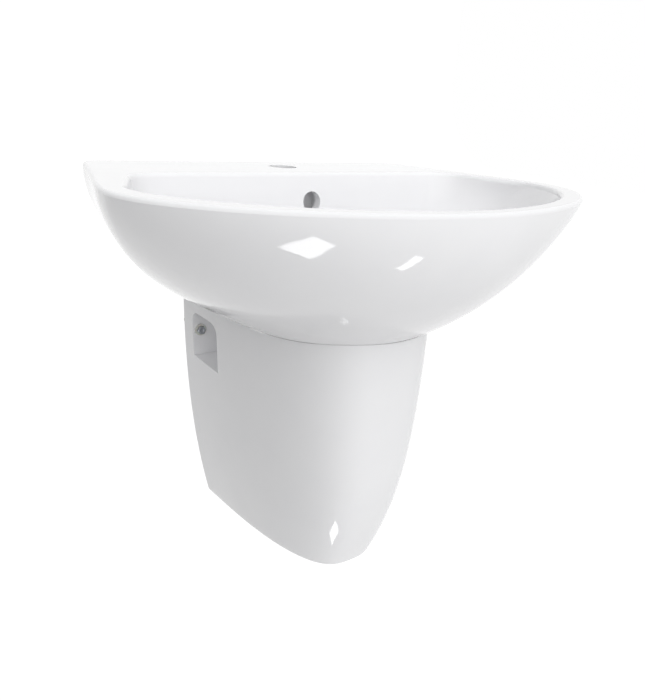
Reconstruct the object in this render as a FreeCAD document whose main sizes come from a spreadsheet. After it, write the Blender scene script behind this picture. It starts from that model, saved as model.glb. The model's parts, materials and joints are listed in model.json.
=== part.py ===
import FreeCAD, Part
import math
import os
import re

import Sketcher
from FreeCAD import Placement, Rotation, Vector

# Wall-hung washbasin with a half pedestal, in millimetres.
# The wall is the plane Y = 0 and the basin stands out of it towards -Y. +Z is up, and the
# origin lies on the wall, midway between the two bolts that carry the basin.

SIZES = {
    # Basin, plan at the rim
    "basin_width": 550.0,
    "basin_depth": 425.0,
    "back_inset": 42.5,
    "back_corner_radius": 28.0,
    "widest_from_wall": 250.0,
    "flank_fullness": 0.7,
    "front_roundness": 1.8,
    # Basin, how the belly draws in below the rim, measured at one part of its height
    "rim_above_bolts": 65.0,
    "belly_height": 180.0,
    "belly_reference_part": 1.2,
    "belly_side_pull": 109.0,
    "belly_side_power": 1.31,
    "belly_keel_pull": 34.7,
    "belly_keel_power": 3.65,
    "belly_front_pull": 116.0,
    "belly_front_power": 2.2,
    "belly_back_pull": 112.0,
    "belly_back_power": 2.03,
    "belly_widest_pull": 175.6,
    "belly_widest_power": 1.14,
    "belly_roundness_gain": 0.42,
    "belly_roundness_power": 3.0,
    # Basin, bowl and walls
    "ceramic_wall": 12.0,
    "bowl_depth": 142.0,
    "bowl_back_from_wall": 133.0,
    "bowl_back_inset": 49.0,
    "bowl_corner_radius": 38.0,
    "bowl_widest_least": 215.0,
    "bowl_back_lean": 0.12,
    "rim_side_extra": 9.0,
    "rim_front_extra": 8.0,
    "bowl_floor_roundness": 6.0,
    "rim_edge_radius": 4.0,
    "bowl_edge_radius": 5.0,
    "deck_thickness": 16.0,
    "waste_boss_diameter": 74.0,
    "waste_boss_below_duct": 5.0,
    "back_opening_width": 132.0,
    "back_opening_drop": 118.0,
    "tap_hole_diameter": 35.0,
    "tap_hole_from_wall": 66.0,
    "overflow_diameter": 24.0,
    "overflow_drop": 33.0,
    "overflow_duct_width": 32.0,
    "overflow_duct_depth": 13.0,
    "overflow_duct_wall": 8.0,
    # Wall fixing of the basin
    "bolt_spacing": 280.0,
    "bolt_diameter": 10.0,
    "bolt_hole_diameter": 28.0,
    "bolt_in_wall": 70.0,
    "bolt_thread_beyond_nut": 7.0,
    "plug_diameter": 14.0,
    "plug_length": 72.0,
    "bolt_clearance": 0.3,
    "bush_clearance": 0.4,
    "bush_flange_diameter": 42.0,
    "bush_flange_thickness": 4.0,
    "washer_diameter": 30.0,
    "washer_thickness": 2.5,
    "nut_across_flats": 17.0,
    "nut_height": 8.0,
    "thread_clearance": 0.1,
    # Half pedestal
    "pedestal_width": 214.0,
    "pedestal_depth": 315.0,
    "pedestal_top_drop": 130.0,
    "pedestal_height_at_wall": 363.0,
    "pedestal_side_draw": 39.0,
    "pedestal_side_power": 2.4,
    "pedestal_front_draw": 47.0,
    "pedestal_front_power": 3.6,
    "pedestal_floor_rise": 0.12,
    "pedestal_squareness": 3.0,
    "pedestal_wall": 9.0,
    "pedestal_foot_radius": 16.0,
    "pedestal_gap": 0.8,
    "notch_drop": 186.0,
    "notch_height": 63.0,
    "notch_from_wall": 28.0,
    "notch_length": 72.0,
    "notch_corner_radius": 16.0,
    "notch_depth": 36.0,
    "pedestal_lug_thickness": 12.0,
    "screw_drop": 214.0,
    "screw_inset": 12.0,
    "screw_diameter": 5.0,
    "screw_hole_diameter": 9.0,
    "screw_head_across_flats": 10.0,
    "screw_head_height": 4.0,
    "screw_in_wall": 18.0,
    "screw_plug_diameter": 8.0,
    "screw_plug_length": 20.0,
    "screw_washer_diameter": 16.0,
    "screw_washer_thickness": 2.0,
    # Waste with its push-to-open plug
    "waste_from_wall": 236.0,
    "waste_hole_diameter": 46.0,
    "waste_flange_diameter": 66.0,
    "waste_flange_thickness": 2.5,
    "waste_seat_clearance": 0.8,
    "waste_seal_thickness": 1.5,
    "waste_tube_diameter": 41.9,
    "waste_bore_diameter": 36.5,
    "waste_tube_length": 92.0,
    "waste_window_width": 18.0,
    "waste_window_height": 12.0,
    "waste_window_drop": 12.0,
    "waste_bridge_drop": 34.0,
    "waste_bridge_height": 4.0,
    "waste_bridge_width": 5.0,
    "cone_seal_thickness": 6.0,
    "cone_seal_diameter": 62.0,
    "slip_washer_thickness": 2.0,
    "backnut_across_flats": 56.0,
    "backnut_height": 9.0,
    "plug_cap_diameter": 63.0,
    "plug_cap_thickness": 4.0,
    "plug_cap_lift": 1.8,
    "plug_seal_thickness": 1.5,
    "plug_seal_width": 4.0,
    "plug_travel": 8.0,
    "plug_stem_diameter": 6.0,
    "cartridge_diameter": 15.0,
    "cartridge_length": 34.0,
    "cartridge_wall": 1.6,
    "running_clearance": 0.2,
    "spring_wire": 0.9,
    "spring_turns": 6.0,
    # Bottle trap and its pipe to the wall
    "pipe_diameter": 32.0,
    "pipe_wall": 1.8,
    "pipe_clearance": 0.2,
    "coupling_nut_diameter": 54.0,
    "coupling_nut_face": 3.0,
    "coupling_overlap": 13.0,
    "coupling_washer_thickness": 2.5,
    "inlet_flange_thickness": 2.0,
    "neck_diameter": 42.0,
    "neck_length": 16.0,
    "bottle_diameter": 66.0,
    "bottle_wall": 2.5,
    "bottle_top_drop": 292.0,
    "bottle_height": 58.0,
    "cup_diameter": 72.0,
    "cup_height": 46.0,
    "cup_overlap": 12.0,
    "cup_seal_thickness": 2.0,
    "inlet_dip": 48.0,
    "outlet_drop": 316.0,
    "outlet_in_wall": 50.0,
    "outlet_in_neck": 12.0,
    "rosette_diameter": 75.0,
    "rosette_face_diameter": 44.0,
    "rosette_depth": 9.0,
    "rosette_wall": 1.5,
}

doc = FreeCAD.newDocument("basin_with_half_pedestal")
sheet = doc.addObject("Spreadsheet::Sheet", "Sizes")
for row, (alias, value) in enumerate(SIZES.items(), start=1):
    sheet.set(f"A{row}", alias)
    sheet.set(f"B{row}", repr(value))
    sheet.setAlias(f"B{row}", alias)
doc.recompute()

subparts = []


def size(alias):
    """The number that a cell of the sheet holds."""
    return float(sheet.get(alias))


def formula(text):
    """A formula in cell names, written the way an expression reads them."""

    def as_cell(word):
        name = word.group()
        return f"Sizes.{name}" if name in SIZES else name

    return re.sub(r"[a-z_]{3,}", as_cell, text)


def value_of(text):
    """What a formula in cell names comes to now."""
    return float(sheet.evalExpression(formula(text)))


def bind(item, **properties):
    """Tie properties of an object to formulas in cell names."""
    for name, text in properties.items():
        item.setExpression(name, formula(text))


def place(item, x="0", y="0", z="0"):
    """Tie an object's place to formulas."""
    for axis, text in zip("xyz", (x, y, z)):
        item.setExpression(f"Placement.Base.{axis}", formula(text))


def subpart(item, name):
    """Name an object as one of the pieces of the assembly."""
    item.Label = name
    subparts.append(item)
    return item


def part(kind, name, **properties):
    item = doc.addObject(f"Part::{kind}", name)
    bind(item, **properties)
    return item


def cylinder(name, radius, height, x="0", y="0", z="0", to_wall=False):
    """A cylinder that stands on its place, or lies from it towards the wall (+Y)."""
    item = part("Cylinder", name, Radius=radius, Height=height)
    if to_wall:
        item.Placement = Placement(Vector(), Rotation(Vector(1, 0, 0), -90))
    place(item, x, y, z)
    return item


def box(name, length, width, height, x="0", y="0", z="0"):
    """A box from its lowest corner."""
    item = part("Box", name, Length=length, Width=width, Height=height)
    place(item, x, y, z)
    return item


def cut(name, base, tool):
    item = doc.addObject("Part::Cut", name)
    item.Base = base
    item.Tool = tool
    return item


def fuse(name, *shapes):
    item = doc.addObject("Part::MultiFuse", name)
    item.Shapes = list(shapes)
    return item


def pair(name, right):
    """The piece and its twin on the other side of the middle plane, as one node of two solids."""
    left = doc.addObject("Part::Mirroring", f"{name}_left")
    left.Source = right
    left.Base = Vector(0, 0, 0)
    left.Normal = Vector(1, 0, 0)
    both = doc.addObject("Part::Compound", f"{name}_pair")
    both.Links = [right, left]
    return subpart(both, name)


def plane_of(body, role):
    return next(feature for feature in body.Origin.OriginFeatures if feature.Role == role)


def turned(name, profile, x="0", y="0", z="0", to_wall=False):
    """A body turned about its own axis. The profile is a closed line of (radius, height) formulas."""
    body = doc.addObject("PartDesign::Body", name)
    sketch = body.newObject("Sketcher::SketchObject", f"{name}_profile")
    sketch.AttachmentSupport = (plane_of(body, "XZ_Plane"), [""])
    sketch.MapMode = "FlatFace"
    corners = [Vector(value_of(radius), value_of(height), 0) for radius, height in profile]
    count = len(corners)
    for index in range(count):
        sketch.addGeometry(Part.LineSegment(corners[index], corners[(index + 1) % count]), False)
    for index in range(count):
        sketch.addConstraint(Sketcher.Constraint("Coincident", index, 2, (index + 1) % count, 1))
    for index, (radius, height) in enumerate(profile):
        for kind, axis, text, now in (
            ("DistanceX", -2, radius, corners[index].x),
            ("DistanceY", -1, height, corners[index].y),
        ):
            if text == "0":
                sketch.addConstraint(Sketcher.Constraint("PointOnObject", index, 1, axis))
            else:
                number = sketch.addConstraint(Sketcher.Constraint(kind, -1, 1, index, 1, now))
                sketch.setExpression(f"Constraints[{number}]", formula(text))
    turn = body.newObject("PartDesign::Revolution", f"{name}_turned")
    turn.Profile = sketch
    turn.ReferenceAxis = (sketch, ["V_Axis"])
    turn.Angle = 360.0
    if to_wall:
        body.Placement = Placement(Vector(), Rotation(Vector(1, 0, 0), -90))
    place(body, x, y, z)
    return body


def ring(outer, inner, bottom, top):
    """The profile of a plain ring or tube, in formulas."""
    return [(inner, bottom), (outer, bottom), (outer, top), (inner, top)]


# ---------------------------------------------------------------------------------------------
# Ceramic outlines. Every section is a level closed wire of the same kinds of edges, so that
# one smooth skin can be drawn through them.
# ---------------------------------------------------------------------------------------------


def superellipse(half_width, length, exponent, steps):
    """Points from (half_width, 0) round (0, length) to (-half_width, 0)."""
    points = []
    for step in range(steps + 1):
        angle = math.pi * step / steps
        across = abs(math.cos(angle)) ** (2 / exponent) * math.copysign(1, math.cos(angle))
        along = math.sin(angle) ** (2 / exponent)
        points.append((half_width * across, length * along))
    return points


def spacing_of(spots):
    """How far along the line each spot is, as a share of the whole. All the sections of one skin
    take the same shares, so that no section slides along the next."""
    steps = [math.dist(here, there) for here, there in zip(spots, spots[1:])]
    return [sum(steps[:count]) / sum(steps) for count in range(len(spots))]


def curve_through(points, shares, first_heading, last_heading):
    """A smooth line through the points. It leaves the first and reaches the last along the two
    headings, at the speed of the steps beside them."""
    first_speed = (points[1] - points[0]).Length / (shares[1] - shares[0])
    last_speed = (points[-1] - points[-2]).Length / (shares[-1] - shares[-2])
    curve = Part.BSplineCurve()
    curve.interpolate(
        Points=points,
        Parameters=shares,
        InitialTangent=first_heading.normalize() * first_speed,
        FinalTangent=last_heading.normalize() * last_speed,
        Scale=False,
    )
    return curve.toShape()


def basin_outline(drop, back, back_half, corner, wide_half, widest, front, roundness):
    """A section of the basin or of its bowl, seen from above: a straight back, two rounded
    corners, two flanks that flare to the widest place, and a rounded front.
    back, widest and front are distances from the wall, drop is the depth below the rim."""
    z = size("rim_above_bolts") - drop
    flare = math.atan2(wide_half - back_half, widest - back - corner)
    centre_x = back_half - corner
    flank_start = Vector(centre_x + corner * math.cos(flare), -back - corner * (1 - math.sin(flare)), z)
    heading = Vector(math.sin(flare), -math.cos(flare), 0)
    wide = Vector(wide_half, -widest, z)
    reach = (wide - flank_start).Length
    fullness = size("flank_fullness")
    flank_poles = [
        flank_start,
        flank_start + heading * (fullness * reach),
        wide + Vector(0, 0.6 * (1 - fullness) * reach, 0),
        wide,
    ]
    corner_middle = math.pi / 4 + flare / 2
    corner_points = [
        Vector(centre_x, -back, z),
        Vector(
            centre_x + corner * math.cos(corner_middle), -back - corner * (1 - math.sin(corner_middle)), z
        ),
        flank_start,
    ]

    def other_side(points):
        return [Vector(-point.x, point.y, point.z) for point in reversed(points)]

    front_points = [
        Vector(across, -widest - along, z)
        for across, along in superellipse(wide_half, front - widest, roundness, 24)
    ]
    front_shares = spacing_of(superellipse(1, 1, size("front_roundness"), 24))
    flank = Part.BezierCurve()
    flank.setPoles(flank_poles)
    other_flank = Part.BezierCurve()
    other_flank.setPoles(other_side(flank_poles))
    edges = [
        Part.LineSegment(Vector(-centre_x, -back, z), Vector(centre_x, -back, z)).toShape(),
        Part.Arc(*corner_points).toShape(),
        flank.toBSpline().toShape(),
        curve_through(front_points, front_shares, Vector(0, -1, 0), Vector(0, 1, 0)),
        other_flank.toBSpline().toShape(),
        Part.Arc(*other_side(corner_points)).toShape(),
    ]
    return Part.Wire(edges)


def belly(drop):
    """Half width at the wall, half width at the widest place, how far from the wall that place
    is, the front of the belly and how round that front is, at a drop. The belly draws in from
    below the rim's edge."""
    reference_drop = size("belly_height") / size("belly_reference_part")
    share = (drop - size("rim_edge_radius")) / reference_drop
    side = size("belly_side_pull") * share ** size("belly_side_power")
    keel = size("belly_keel_pull") * share ** size("belly_keel_power")
    squarer = size("belly_roundness_gain") * share ** size("belly_roundness_power")
    half = size("basin_width") / 2
    return (
        half - size("back_inset") - size("belly_back_pull") * share ** size("belly_back_power"),
        half - side - keel,
        size("widest_from_wall") - size("belly_widest_pull") * share ** size("belly_widest_power"),
        size("basin_depth") - size("belly_front_pull") * share ** size("belly_front_power"),
        size("front_roundness") + squarer,
    )


def belly_section(drop, lowered=0.0):
    back_half, wide_half, widest, front, roundness = belly(drop)
    corner = size("back_corner_radius")
    return basin_outline(
        drop + lowered, 0.0, back_half, corner, wide_half, widest, front, roundness
    )


def bowl_back(drop):
    """How far from the wall the back of the bowl is at a drop."""
    return size("bowl_back_from_wall") + size("bowl_back_lean") * drop


def bowl_plan(drop):
    """The bowl keeps the wall's thickness to the belly, and closes round the waste at its floor."""
    wall = size("ceramic_wall")
    share = drop / size("bowl_depth")
    near_rim = (1 - share) ** 4
    wide_at_rim = belly(wall)[1] - wall - size("rim_side_extra")
    _, wide_half, widest, front, front_exponent = belly(drop + wall)
    wide_half -= wall + size("rim_side_extra") * near_rim
    front -= wall + size("rim_front_extra") * near_rim
    back_half = (size("basin_width") / 2 - size("bowl_back_inset")) * wide_half / wide_at_rim
    roundness = size("bowl_floor_roundness")
    closing = (1 - min(share, 0.999) ** roundness) ** (1 / roundness)
    centre = size("waste_from_wall")

    def closed(from_wall):
        return centre + (from_wall - centre) * closing

    return (
        closed(bowl_back(drop)),
        back_half * closing,
        size("bowl_corner_radius") * closing,
        wide_half * closing,
        closed(max(widest, size("bowl_widest_least"))),
        closed(front),
        front_exponent,
    )


def bowl_section(drop):
    return basin_outline(drop, *bowl_plan(drop))


def recess_section(drop):
    """The hollow behind the bowl, where the bolts, the tap's nut and the pipes are reached."""
    wall = size("ceramic_wall")
    z = size("rim_above_bolts") - drop
    back_half, wide_half, widest, _, _ = belly(drop)
    far = bowl_back(drop) - wall
    near_half = back_half - wall
    far_half = back_half + (wide_half - back_half) * min(far / widest, 1) - 2 * wall
    corners = [
        Vector(-near_half, -wall, z),
        Vector(near_half, -wall, z),
        Vector(far_half, -far, z),
        Vector(-far_half, -far, z),
    ]
    return Part.makePolygon(corners + corners[:1])


def underside_section(drop):
    """The hollow under the floor of the bowl, one wall inside the belly."""
    wall = size("ceramic_wall")
    back_half, wide_half, widest, front, roundness = belly(drop)
    return basin_outline(
        drop, wall, back_half - wall, size("back_corner_radius") / 2, wide_half - wall, widest,
        front - wall, roundness,
    )


def rolled(radius, turn):
    """Drop and inset along a rounded edge: turn 0 is near the level top, turn 1 the upright side."""
    first = math.radians(10)
    angle = first + turn * (math.pi / 2 - first)
    depth = (math.cos(first) - math.cos(angle)) / math.cos(first)
    return radius * depth, radius * (1 - math.sin(angle))


def rim_section(turn):
    """The outer edge of the rim, rolled over with one radius."""
    radius = size("rim_edge_radius")
    drop, inset = rolled(radius, turn)
    back_half, wide_half, widest, front, roundness = belly(radius)
    corner = size("back_corner_radius")
    return basin_outline(
        drop, inset, back_half - inset, corner - inset, wide_half - inset, widest, front - inset,
        roundness,
    )


def bowl_lip_section(turn):
    """The edge between the deck and the bowl, rolled over into the bowl."""
    radius = size("bowl_edge_radius")
    drop, outset = rolled(radius, turn)
    back, back_half, corner, wide_half, widest, front, roundness = bowl_plan(radius)
    return basin_outline(
        drop, back - outset, back_half + outset, corner + outset, wide_half + outset, widest,
        front + outset, roundness,
    )


def pedestal_plan(share):
    """Half width and depth of the pedestal at a share of the way down."""
    side = size("pedestal_side_draw") * share ** size("pedestal_side_power")
    front = size("pedestal_front_draw") * share ** size("pedestal_front_power")
    return size("pedestal_width") / 2 - side, size("pedestal_depth") - front


def pedestal_section(share, inset=0.0, lifted=0.0, behind_wall=0.0):
    """A U-shaped section, open to the wall. Lower down it tilts up towards the front."""
    half, depth = pedestal_plan(share)
    half -= inset
    depth -= inset
    top = size("rim_above_bolts") - size("pedestal_top_drop")

    def point(across, from_wall):
        fall = size("pedestal_height_at_wall") - size("pedestal_floor_rise") * from_wall
        return Vector(across, -from_wall, top - share * fall + lifted)

    squareness = size("pedestal_squareness")
    curve = [point(*spot) for spot in superellipse(half, depth, squareness, 28)]
    shares = spacing_of(superellipse(*pedestal_plan(0.5), squareness, 28))
    leaving_wall = Vector(0, -1, share * size("pedestal_floor_rise"))
    front = curve_through(curve, shares, leaving_wall, leaving_wall * -1)
    corners = [point(-half, 0), point(-half, -behind_wall), point(half, -behind_wall), point(half, 0)]
    if behind_wall == 0:
        corners = [corners[0], corners[-1]]
    back = [Part.LineSegment(*ends).toShape() for ends in zip(corners, corners[1:])]
    return Part.Wire(back + [front])


def loft(name, sections):
    """One solid through level sections, kept as an object of its own in the document."""
    item = doc.addObject("Part::Feature", name)
    item.Shape = Part.makeLoft(sections, True, False)
    return item


def evenly(first, last, count):
    return [first + (last - first) * index / (count - 1) for index in range(count)]


# ---------------------------------------------------------------------------------------------
# Basin: one piece of vitreous china. The belly is the outside of the bowl itself, and behind the
# bowl a hollow open below holds the bolts and pipes. The overflow runs down a duct in the back of
# the bowl to the waste.
# ---------------------------------------------------------------------------------------------

DROP_TO_Z = "rim_above_bolts - "
rim_edge = size("rim_edge_radius")
bowl_edge = size("bowl_edge_radius")
bowl_depth = size("bowl_depth")
belly_height = size("belly_height")
below = 2.0  # how far a cutting shape runs past the face that it leaves by

belly_solid = loft("belly", [belly_section(drop) for drop in evenly(rim_edge, belly_height, 9)])
rim_solid = loft("rim", [rim_section(turn) for turn in evenly(0, 1, 4)])
hollow = loft(
    "hollow_behind_bowl",
    [recess_section(drop) for drop in evenly(size("deck_thickness"), belly_height + below, 5)],
)
underside = loft(
    "hollow_under_bowl",
    [underside_section(drop) for drop in evenly(bowl_depth + size("ceramic_wall"), belly_height + below, 3)],
)
bowl_shares = (0, 0.12, 0.3, 0.5, 0.68, 0.82, 0.92, 0.97, 0.99, 0.9995)
bowl_solid = loft(
    "bowl", [bowl_section(bowl_edge + (bowl_depth - bowl_edge) * share) for share in bowl_shares]
)
bowl_lip = loft("bowl_lip", [bowl_lip_section(turn) for turn in evenly(0, 1, 4)])
bowl_mouth = doc.addObject("Part::Feature", "bowl_mouth")
bowl_mouth.Shape = Part.Face(bowl_lip_section(0)).extrude(Vector(0, 0, below))

waste_y = "-waste_from_wall"
duct_front = "bowl_back_from_wall + bowl_back_lean * overflow_drop - ceramic_wall"
duct_half = "overflow_duct_width / 2"
duct_floor = "bowl_depth + ceramic_wall + overflow_duct_depth"
boss_foot = f"({duct_floor} + overflow_duct_wall + waste_boss_below_duct)"
waste_boss = cylinder(
    "waste_boss", "waste_boss_diameter / 2", f"{boss_foot} - bowl_depth",
    y=waste_y, z=DROP_TO_Z + boss_foot,
)
duct_casing = box(
    "duct_casing", "overflow_duct_width + 2 * overflow_duct_wall",
    "overflow_duct_depth + 2 * overflow_duct_wall",
    f"{duct_floor} + overflow_duct_wall - deck_thickness",
    x=f"-{duct_half} - overflow_duct_wall",
    y=f"-({duct_front}) - overflow_duct_wall",
    z=f"{DROP_TO_Z} ({duct_floor} + overflow_duct_wall)",
)
duct_foot_casing = box(
    "duct_foot_casing", "overflow_duct_width + 2 * overflow_duct_wall",
    f"waste_from_wall - ({duct_front})",
    "overflow_duct_depth + 2 * overflow_duct_wall",
    x=f"-{duct_half} - overflow_duct_wall",
    y=waste_y,
    z=f"{DROP_TO_Z} ({duct_floor} + overflow_duct_wall)",
)
duct_shaft = box(
    "duct_shaft", "overflow_duct_width", "overflow_duct_depth",
    f"{duct_floor} - overflow_drop + overflow_diameter / 2 + 1",
    x=f"-{duct_half}",
    y=f"-({duct_front})",
    z=f"{DROP_TO_Z} ({duct_floor})",
)
duct_foot = box(
    "duct_foot", "overflow_duct_width", f"waste_from_wall - ({duct_front}) + overflow_duct_depth",
    "overflow_duct_depth",
    x=f"-{duct_half}",
    y=waste_y,
    z=f"{DROP_TO_Z} ({duct_floor})",
)
overflow_hole = cylinder(
    "overflow_hole", "overflow_diameter / 2", "ceramic_wall + overflow_duct_depth / 2 + 10",
    y=f"-({duct_front}) - ceramic_wall - 10",
    z=DROP_TO_Z + "overflow_drop", to_wall=True,
)
tap_hole = cylinder(
    "tap_hole", "tap_hole_diameter / 2", "deck_thickness + 4",
    y="-tap_hole_from_wall", z=DROP_TO_Z + "deck_thickness - 2",
)
waste_hole = cylinder(
    "waste_hole", "waste_hole_diameter / 2", boss_foot,
    y=waste_y, z=f"{DROP_TO_Z} {boss_foot} - 2",
)
waste_seat = cylinder(
    "waste_seat", "waste_flange_diameter / 2 + waste_seat_clearance", "20",
    y=waste_y, z=DROP_TO_Z + "bowl_depth - waste_flange_thickness - waste_seal_thickness",
)
bolt_hole = cylinder(
    "bolt_hole", "bolt_hole_diameter / 2", "ceramic_wall + 2",
    x="bolt_spacing / 2", y="-ceramic_wall - 1", to_wall=True,
)
bolt_hole_left = cylinder(
    "bolt_hole_left", "bolt_hole_diameter / 2", "ceramic_wall + 2",
    x="-bolt_spacing / 2", y="-ceramic_wall - 1", to_wall=True,
)
back_opening = box(
    "back_opening", "back_opening_width", "ceramic_wall + 2", "belly_height - back_opening_drop + 1",
    x="-back_opening_width / 2", y="-ceramic_wall - 1", z=DROP_TO_Z + "belly_height - 1",
)

basin_outside = fuse("basin_outside", belly_solid, rim_solid)
hollows = fuse("hollows", hollow, underside)
carcass = cut("carcass", basin_outside, hollows)
carcass_with_duct = fuse("carcass_with_duct", carcass, waste_boss, duct_casing, duct_foot_casing)
bowl_cutter = fuse("bowl_cutter", bowl_solid, bowl_lip, bowl_mouth)
open_bowl = cut("open_bowl", carcass_with_duct, bowl_cutter)
passages = fuse("passages", duct_shaft, duct_foot, overflow_hole, waste_hole, waste_seat)
with_passages = cut("with_passages", open_bowl, passages)
fixing_holes = fuse("fixing_holes", tap_hole, bolt_hole, bolt_hole_left, back_opening)
subpart(cut("basin_piece", with_passages, fixing_holes), "basin")

# ---------------------------------------------------------------------------------------------
# Half pedestal: a china shell open to the wall and above, whose top edge follows the belly. Each
# side has a pocket near the wall, where the screw that holds the shell is reached.
# ---------------------------------------------------------------------------------------------

shares = evenly(0, 1, 8)
shell_wall = size("pedestal_wall")
pedestal_outside = doc.addObject("Part::Feature", "pedestal_outside")
outside_loft = Part.makeLoft([pedestal_section(share) for share in shares], True, False)
foot = min(outside_loft.Faces, key=lambda face: face.CenterOfMass.z)
foot_edges = [edge for edge in foot.Edges if edge.BoundBox.YLength > size("pedestal_depth") / 2]
pedestal_outside.Shape = outside_loft.makeFillet(size("pedestal_foot_radius"), foot_edges)
pedestal_inside = loft(
    "pedestal_inside",
    [pedestal_section(share, shell_wall, shell_wall * share, behind_wall=5) for share in shares],
)
belly_clearance = loft(
    "belly_clearance",
    [
        belly_section(drop, lowered=size("pedestal_gap"))
        for drop in evenly(size("pedestal_top_drop") / 2, belly_height, 7)
    ],
)
notch_floor = DROP_TO_Z + "notch_drop - notch_height"
casing_height = "notch_height + 2 * pedestal_wall"
pocket_floor_x = "pedestal_width / 2 - notch_depth"
casing_strip = box(
    "casing_strip", "pedestal_width", "notch_from_wall + notch_length + pedestal_wall", casing_height,
    x="-pedestal_width / 2", y="-notch_from_wall - notch_length - pedestal_wall",
    z=f"{notch_floor} - pedestal_wall",
)
between_casings = box(
    "between_casings", f"2 * ({pocket_floor_x} - pedestal_wall)",
    "notch_from_wall + notch_length + pedestal_wall + 2", f"{casing_height} + 2",
    x=f"-({pocket_floor_x} - pedestal_wall)",
    y="-notch_from_wall - notch_length - pedestal_wall - 1",
    z=f"{notch_floor} - pedestal_wall - 1",
)
casing_pair = cut("casing_pair", casing_strip, between_casings)
casings = doc.addObject("Part::MultiCommon", "casings")
casings.Shapes = [casing_pair, pedestal_outside]
notch_box = box(
    "notch_box", "notch_depth + 10", "notch_length", "notch_height - notch_corner_radius",
    x=pocket_floor_x, y="-notch_from_wall - notch_length", z=notch_floor,
)
notch_top = box(
    "notch_top", "notch_depth + 10", "notch_length - 2 * notch_corner_radius", "notch_height",
    x=pocket_floor_x, y="-notch_from_wall - notch_length + notch_corner_radius", z=notch_floor,
)


def notch_corner(name, from_wall):
    """One of the pocket's two rounded upper corners, as a cylinder across the side."""
    item = part("Cylinder", name, Radius="notch_corner_radius", Height="notch_depth + 10")
    item.Placement = Placement(Vector(), Rotation(Vector(0, 1, 0), 90))
    place(
        item, pocket_floor_x, f"-({from_wall})", f"{notch_floor} + notch_height - notch_corner_radius"
    )
    return item


near_corner = notch_corner("near_corner", "notch_from_wall + notch_corner_radius")
far_corner = notch_corner("far_corner", "notch_from_wall + notch_length - notch_corner_radius")
relief = box(
    "relief_behind_lug", "notch_depth - pedestal_wall", "notch_from_wall - pedestal_lug_thickness + 1",
    "notch_height",
    x=pocket_floor_x, y="-notch_from_wall + pedestal_lug_thickness", z=notch_floor,
)
screw_x = "(pedestal_width / 2 - screw_inset)"
screw_hole = cylinder(
    "screw_hole", "screw_hole_diameter / 2", "pedestal_lug_thickness + 2",
    x=screw_x, y="-notch_from_wall - 1", z=DROP_TO_Z + "screw_drop", to_wall=True,
)
right_cuts = fuse("right_cuts", notch_box, notch_top, near_corner, far_corner, relief, screw_hole)
left_cuts = doc.addObject("Part::Mirroring", "left_cuts")
left_cuts.Source = right_cuts
left_cuts.Base = Vector(0, 0, 0)
left_cuts.Normal = Vector(1, 0, 0)
shell = cut("pedestal_shell", pedestal_outside, pedestal_inside)
shell_with_casings = fuse("shell_with_casings", shell, casings)
pedestal_cuts = fuse("pedestal_cuts", right_cuts, left_cuts)
notched = cut("notched_shell", shell_with_casings, pedestal_cuts)
subpart(cut("pedestal_piece", notched, belly_clearance), "semi_pedestal")

# ---------------------------------------------------------------------------------------------
# What hangs the basin on the wall: two hanger bolts in wall plugs, with bushes, washers and nuts.
# ---------------------------------------------------------------------------------------------

bolt_x = "bolt_spacing / 2"
bush_face = "-ceramic_wall - bush_flange_thickness"
washer_face = f"{bush_face} - washer_thickness"
nut_face = f"{washer_face} - nut_height"
bolt_end = f"{nut_face} - bolt_thread_beyond_nut"
bolt_length = (
    "(bolt_in_wall + ceramic_wall + bush_flange_thickness + washer_thickness + nut_height"
    " + bolt_thread_beyond_nut)"
)
bolt = turned(
    "hanger_bolt",
    [
        ("0", "0"),
        ("bolt_diameter / 2 - 1", "0"),
        ("bolt_diameter / 2", "1"),
        ("bolt_diameter / 2", f"{bolt_length} - bolt_diameter"),
        ("1", bolt_length),
        ("0", bolt_length),
    ],
    x=bolt_x, y=bolt_end, to_wall=True,
)
pair("basin_hanger_bolts", bolt)
wall_plug = turned(
    "wall_plug",
    ring("plug_diameter / 2", "bolt_diameter / 2 + thread_clearance", "0", "plug_length"),
    x=bolt_x, to_wall=True,
)
pair("basin_wall_plugs", wall_plug)
bush_bore = "bolt_diameter / 2 + bolt_clearance"
bush_sleeve = "bolt_hole_diameter / 2 - bush_clearance"
bush = turned(
    "bush",
    [
        (bush_bore, "0"),
        ("bush_flange_diameter / 2", "0"),
        ("bush_flange_diameter / 2", "bush_flange_thickness"),
        (bush_sleeve, "bush_flange_thickness"),
        (bush_sleeve, "bush_flange_thickness + ceramic_wall - 1"),
        (bush_bore, "bush_flange_thickness + ceramic_wall - 1"),
    ],
    x=bolt_x, y=bush_face, to_wall=True,
)
pair("basin_bushes", bush)
washer = turned(
    "washer", ring("washer_diameter / 2", bush_bore, "0", "washer_thickness"),
    x=bolt_x, y=washer_face, to_wall=True,
)
pair("basin_washers", washer)


def hexagon(name, across_flats, height, x="0", y="0", z="0", to_wall=False):
    """A hexagonal block, standing on its place or lying from it towards the wall."""
    item = part("Prism", name, Circumradius=f"{across_flats} / sqrt(3)", Height=height)
    item.Polygon = 6
    if to_wall:
        item.Placement = Placement(Vector(), Rotation(Vector(1, 0, 0), -90))
    place(item, x, y, z)
    return item


nut_block = hexagon("nut_block", "nut_across_flats", "nut_height", x=bolt_x, y=nut_face, to_wall=True)
nut_bore = cylinder(
    "nut_bore", "bolt_diameter / 2 + thread_clearance", "nut_height + 2",
    x=bolt_x, y=f"{nut_face} - 1", to_wall=True,
)
pair("basin_nuts", cut("nut", nut_block, nut_bore))

# ---------------------------------------------------------------------------------------------
# What holds the half pedestal: two screws, each driven from a pocket in its side.
# ---------------------------------------------------------------------------------------------

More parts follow.
